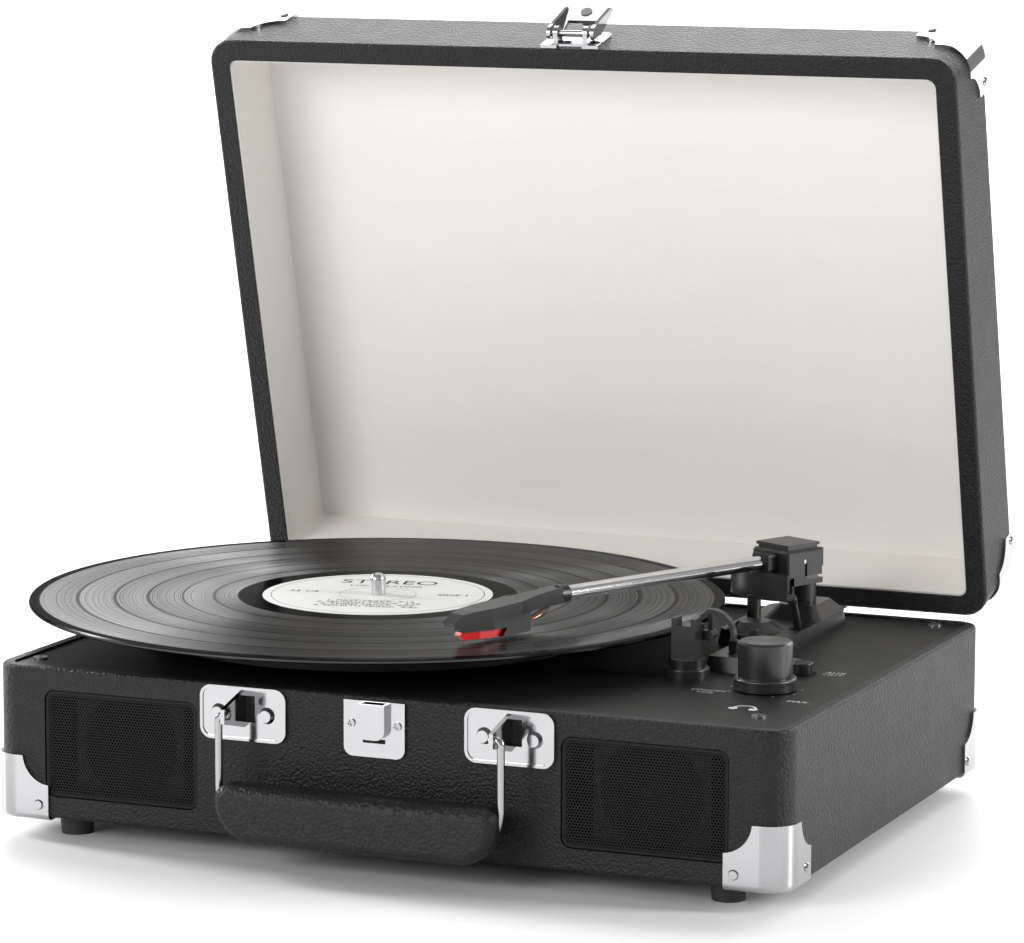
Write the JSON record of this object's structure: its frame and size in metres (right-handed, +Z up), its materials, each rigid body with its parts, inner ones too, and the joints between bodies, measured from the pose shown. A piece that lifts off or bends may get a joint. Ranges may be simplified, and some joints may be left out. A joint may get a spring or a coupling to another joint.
{
  "type": "suitcase record player",
  "caption": "Portable record player in a hinged carrying case with platter, tonearm, speakers, latch and carrying handle",
  "frame": {"origin": "centre of the case's underside", "axes": "+X to the player's right, +Y to the rear where the lid is hinged, +Z up"},
  "size_m": [0.3868, 0.3333, 0.342],
  "materials": {
    "leatherette": "pebbled black leatherette on board",
    "panel": "black painted hardboard",
    "foot_rubber": "matte black",
    "screw_steel": "zinc plated",
    "deck_black": "fine satin black",
    "grille_mesh": "black perforated steel",
    "basket_steel": "black stamped steel",
    "cone_paper": "black paper cone",
    "magnet": "ferrite and zinc",
    "guard_nickel": "bright nickel plate",
    "hinge_steel": "plated steel",
    "socket_plastic": "black",
    "rca_metal": "gold flashed",
    "board_green": "green laminate with parts",
    "motor_steel": "drawn steel can",
    "belt_rubber": "black",
    "spindle_steel": "turned steel",
    "arm_black": "satin black",
    "knob_black": "gloss with radial brushed top",
    "platter_black": "black powder coat",
    "mat_felt": "black felt",
    "vinyl": "grooved gloss black",
    "label_paper": "white printed paper",
    "tube_chrome": "polished",
    "stylus_red": "translucent red",
    "bail_wire": "nickel plated wire",
    "grip_leather": "pebbled black over foam",
    "lining": "cream paper-backed fabric lining",
    "button_grey": "grey satin"
  },
  "bodies": {
    "case": {"base_shell": "leatherette", "bottom_panel": "panel", "rubber_feet": "foot_rubber", "foot_screws": "screw_steel", "deck_plate": "deck_black", "deck_screws": "screw_steel", "speaker_grille_left": "grille_mesh", "speaker_grille_right": "grille_mesh", "speaker_baskets": "basket_steel", "speaker_cones": "cone_paper", "speaker_magnets": "magnet", "base_corner_guards": "guard_nickel", "base_corner_nails": "guard_nickel", "handle_bracket_left": "guard_nickel", "handle_bracket_right": "guard_nickel", "bracket_rivets": "guard_nickel", "lock_plate": "guard_nickel", "lock_screws": "screw_steel", "hinge_base_leaves": "hinge_steel", "hinge_pins": "hinge_steel", "socket_panel": "socket_plastic", "line_out_sockets": "rca_metal", "power_inlet": "socket_plastic", "amplifier_board": "board_green", "volume_pot": "screw_steel", "drive_motor": "motor_steel", "drive_belt": "belt_rubber", "spindle": "spindle_steel", "arm_base_plate": "arm_black", "arm_post": "arm_black", "arm_rest": "arm_black"},
    "lid": {"lid_shell": "leatherette", "lid_lining": "lining", "lid_corner_guards": "guard_nickel", "lid_corner_nails": "guard_nickel", "latch_plate": "guard_nickel", "hinge_lid_leaves": "hinge_steel"},
    "hasp": {"latch_hasp": "guard_nickel"},
    "hasp_button": {"latch_button": "button_grey"},
    "platter": {"platter": "platter_black", "platter_mat": "mat_felt", "vinyl_record": "vinyl", "record_label": "label_paper"},
    "pulley": {"motor_pulley": "rca_metal"},
    "arm_turret": {"arm_yoke": "arm_black"},
    "tonearm": {"arm_block": "arm_black", "lift_pin": "screw_steel", "arm_tube": "tube_chrome", "headshell": "arm_black", "cartridge": "arm_black", "stylus": "stylus_red"},
    "cue_platform": {"cue_platform": "arm_black"},
    "cue_lever": {"cue_lever": "arm_black"},
    "arm_clip": {"arm_clip": "arm_black"},
    "speed_lever": {"speed_lever": "arm_black"},
    "autostop_lever": {"autostop_lever": "arm_black"},
    "volume_knob": {"volume_knob": "knob_black"},
    "source_button": {"source_button": "arm_black"},
    "handle": {"handle_bail": "bail_wire", "handle_grip": "grip_leather"}
  },
  "joints": [
    {"name": "lid_hinge", "type": "hinge", "parent": "case", "child": "lid", "pos_m": [0, 0.1332, 0.0589], "axis": [-1, 0, 0], "range_deg": [-1.5, 19.4]},
    {"name": "hasp_hinge", "type": "hinge", "parent": "lid", "child": "hasp", "pos_m": [0, 0.07832, 0.3213], "axis": [1, 0, 0], "range_deg": [-6, 158]},
    {"name": "hasp_button_slide", "type": "slide", "parent": "hasp", "child": "hasp_button", "axis": [0, -0.5934, 0.8049], "range_m": [0, 0.0012], "stiffness_N_per_m": 200, "springref_m": -0.001},
    {"name": "platter_spin", "type": "hinge", "parent": "case", "child": "platter", "pos_m": [-0.058, 0, 0.0778], "axis": [0, 0, -1], "continuous": true},
    {"name": "pulley_spin", "type": "hinge", "parent": "case", "child": "pulley", "pos_m": [-0.12942, -0.02599, 0.07], "axis": [0, 0, -1], "continuous": true},
    {"name": "tonearm_swing", "type": "hinge", "parent": "case", "child": "arm_turret", "pos_m": [0.1065, 0.09, 0.084], "axis": [0, 0, 1], "range_deg": [-21, 19.7]},
    {"name": "tonearm_lift", "type": "hinge", "parent": "arm_turret", "child": "tonearm", "pos_m": [0.10196, 0.08031, 0.095], "axis": [-0.9056, 0.4242, 0], "range_deg": [0, 4.4]},
    {"name": "cue_platform_rise", "type": "slide", "parent": "case", "child": "cue_platform", "axis": [0, 0, 1], "range_m": [0, 0.0018]},
    {"name": "cue_lever_turn", "type": "hinge", "parent": "case", "child": "cue_lever", "pos_m": [0.116, 0.0563, 0.0666], "axis": [-1, 0, 0], "range_deg": [0, 50.5]},
    {"name": "arm_clip_turn", "type": "hinge", "parent": "case", "child": "arm_clip", "pos_m": [0.10585, -0.02535, 0.08], "axis": [0, -1, 0], "range_deg": [0, 75]},
    {"name": "speed_lever_slide", "type": "slide", "parent": "case", "child": "speed_lever", "axis": [0, 1, 0], "range_m": [-0.004, 0.004]},
    {"name": "autostop_lever_slide", "type": "slide", "parent": "case", "child": "autostop_lever", "axis": [0, 1, 0], "range_m": [-0.004, 0.004]},
    {"name": "volume_knob_turn", "type": "hinge", "parent": "case", "child": "volume_knob", "pos_m": [0.1375, -0.0475, 0.07], "axis": [0, 0, -1], "range_deg": [0, 300]},
    {"name": "source_button_press", "type": "slide", "parent": "case", "child": "source_button", "axis": [0, 0, -1], "range_m": [0, 0.002], "stiffness_N_per_m": 300, "springref_m": -0.001},
    {"name": "handle_swing", "type": "hinge", "parent": "case", "child": "handle", "pos_m": [0, -0.146, 0.0544], "axis": [-1, 0, 0], "range_deg": [-8, 120]}
  ],
  "couplings": [
    {"joint": "pulley_spin", "follows": "platter_spin", "ratio": 9.9286},
    {"joint": "cue_platform_rise", "follows": "tonearm_lift", "m_per_rad": 0.022},
    {"joint": "cue_lever_turn", "follows": "tonearm_lift", "ratio": 11.364}
  ]
}
